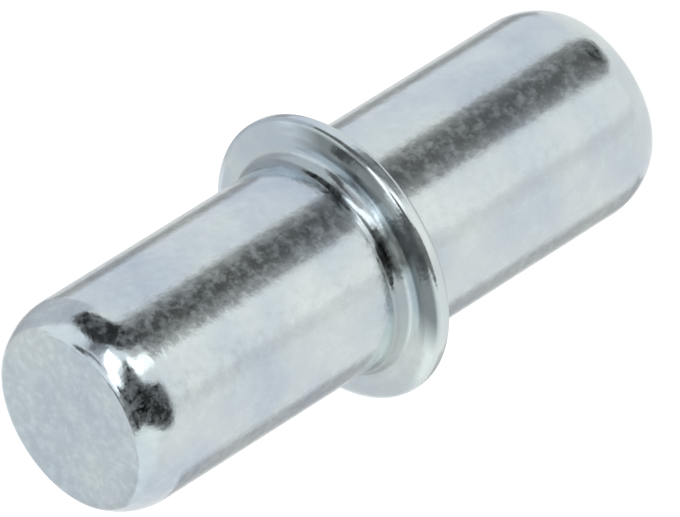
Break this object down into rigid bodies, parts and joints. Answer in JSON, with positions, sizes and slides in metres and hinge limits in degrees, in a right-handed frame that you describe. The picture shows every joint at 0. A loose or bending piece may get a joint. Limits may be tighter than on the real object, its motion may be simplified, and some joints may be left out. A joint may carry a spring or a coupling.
{
  "type": "shelf support pin",
  "caption": "Plain round plug-in shelf support pin with a rolled collar that stops it at the panel face, for shelves on a drilled hole row.",
  "frame": {"origin": "centre of the collar face that seats on the panel, on the pin's axis", "axes": "+Z along the pin's axis, from the plug half through the collar to the half that carries the shelf; the pin is modelled standing on its plug end"},
  "size_m": [0.0068, 0.0068, 0.016],
  "materials": {
    "zinc_plated_steel": "bright zinc plate with a fine satin grain"
  },
  "bodies": {
    "root": {"shelf_pin": "zinc_plated_steel"}
  },
  "joints": []
}
